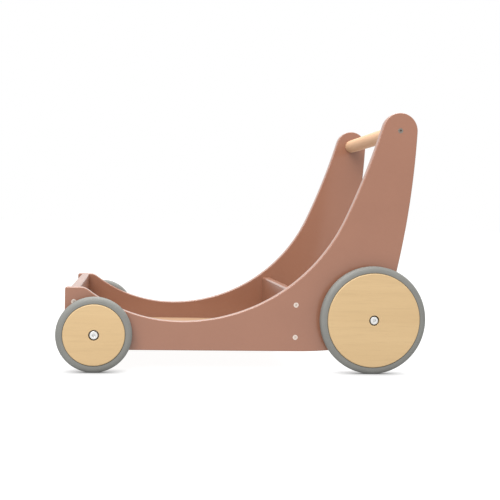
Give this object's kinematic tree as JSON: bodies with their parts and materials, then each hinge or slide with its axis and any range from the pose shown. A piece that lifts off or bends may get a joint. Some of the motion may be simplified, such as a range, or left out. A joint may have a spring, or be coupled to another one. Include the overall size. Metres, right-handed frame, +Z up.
{
  "type": "push-along baby walker",
  "caption": "Wooden push-along baby walker: painted side panels sweep up to a round handle, with a shallow cart between them and plain disc wheels with rubber tyres.",
  "frame": {"origin": "on the ground, under the middle of the walker's overall box", "axes": "+X from the small front wheels towards the handle, +Y to the right-hand side, +Z up"},
  "size_m": [0.6086, 0.398, 0.4375],
  "materials": {
    "rose_paint": "satin dusty-rose paint on board, paler on the rounded edges",
    "birch_floor": "matt varnished birch plywood",
    "wheel_wood": "matt varnished birch, fine level grain",
    "handle_wood": "matt varnished beech",
    "pin_wood": "bare beech",
    "tyre_rubber": "matt light grey rubber",
    "bolt_steel": "zinc-plated, satin",
    "screw_steel": "zinc-plated, satin",
    "dark_steel": "blackened, satin",
    "brass": "yellow-plated steel insert",
    "nylon": "natural nylon"
  },
  "bodies": {
    "frame": {"left_side_panel": "rose_paint", "right_side_panel": "rose_paint", "front_board": "rose_paint", "rear_board": "rose_paint", "floor_board": "birch_floor", "front_board_screws": "screw_steel", "rear_board_screws": "screw_steel", "front_board_pins": "pin_wood", "rear_board_pins": "pin_wood", "handle_dowel": "handle_wood", "left_handle_bolt": "dark_steel", "right_handle_bolt": "dark_steel", "left_handle_insert": "brass", "right_handle_insert": "brass", "front_left_axle_bolt": "bolt_steel", "front_left_axle_washer": "dark_steel", "front_left_axle_spacer": "nylon", "front_left_axle_insert": "brass", "front_right_axle_bolt": "bolt_steel", "front_right_axle_washer": "dark_steel", "front_right_axle_spacer": "nylon", "front_right_axle_insert": "brass", "rear_left_axle_bolt": "bolt_steel", "rear_left_axle_washer": "dark_steel", "rear_left_axle_spacer": "nylon", "rear_left_axle_insert": "brass", "rear_right_axle_bolt": "bolt_steel", "rear_right_axle_washer": "dark_steel", "rear_right_axle_spacer": "nylon", "rear_right_axle_insert": "brass"},
    "front_left_wheel": {"front_left_wheel_disc": "wheel_wood", "front_left_tyre": "tyre_rubber", "front_left_hub_bushing": "nylon"},
    "front_right_wheel": {"front_right_wheel_disc": "wheel_wood", "front_right_tyre": "tyre_rubber", "front_right_hub_bushing": "nylon"},
    "rear_left_wheel": {"rear_left_wheel_disc": "wheel_wood", "rear_left_tyre": "tyre_rubber", "rear_left_hub_bushing": "nylon"},
    "rear_right_wheel": {"rear_right_wheel_disc": "wheel_wood", "rear_right_tyre": "tyre_rubber", "rear_right_hub_bushing": "nylon"}
  },
  "joints": [
    {"name": "front_left_wheel_spin", "type": "hinge", "parent": "frame", "child": "front_left_wheel", "pos_m": [-0.2435, -0.189, 0.06075], "axis": [0, 1, 0], "continuous": true},
    {"name": "front_right_wheel_spin", "type": "hinge", "parent": "frame", "child": "front_right_wheel", "pos_m": [-0.2435, 0.189, 0.06075], "axis": [0, 1, 0], "continuous": true},
    {"name": "rear_left_wheel_spin", "type": "hinge", "parent": "frame", "child": "rear_left_wheel", "pos_m": [0.2145, -0.189, 0.08975], "axis": [0, 1, 0], "continuous": true},
    {"name": "rear_right_wheel_spin", "type": "hinge", "parent": "frame", "child": "rear_right_wheel", "pos_m": [0.2145, 0.189, 0.08975], "axis": [0, 1, 0], "continuous": true}
  ]
}
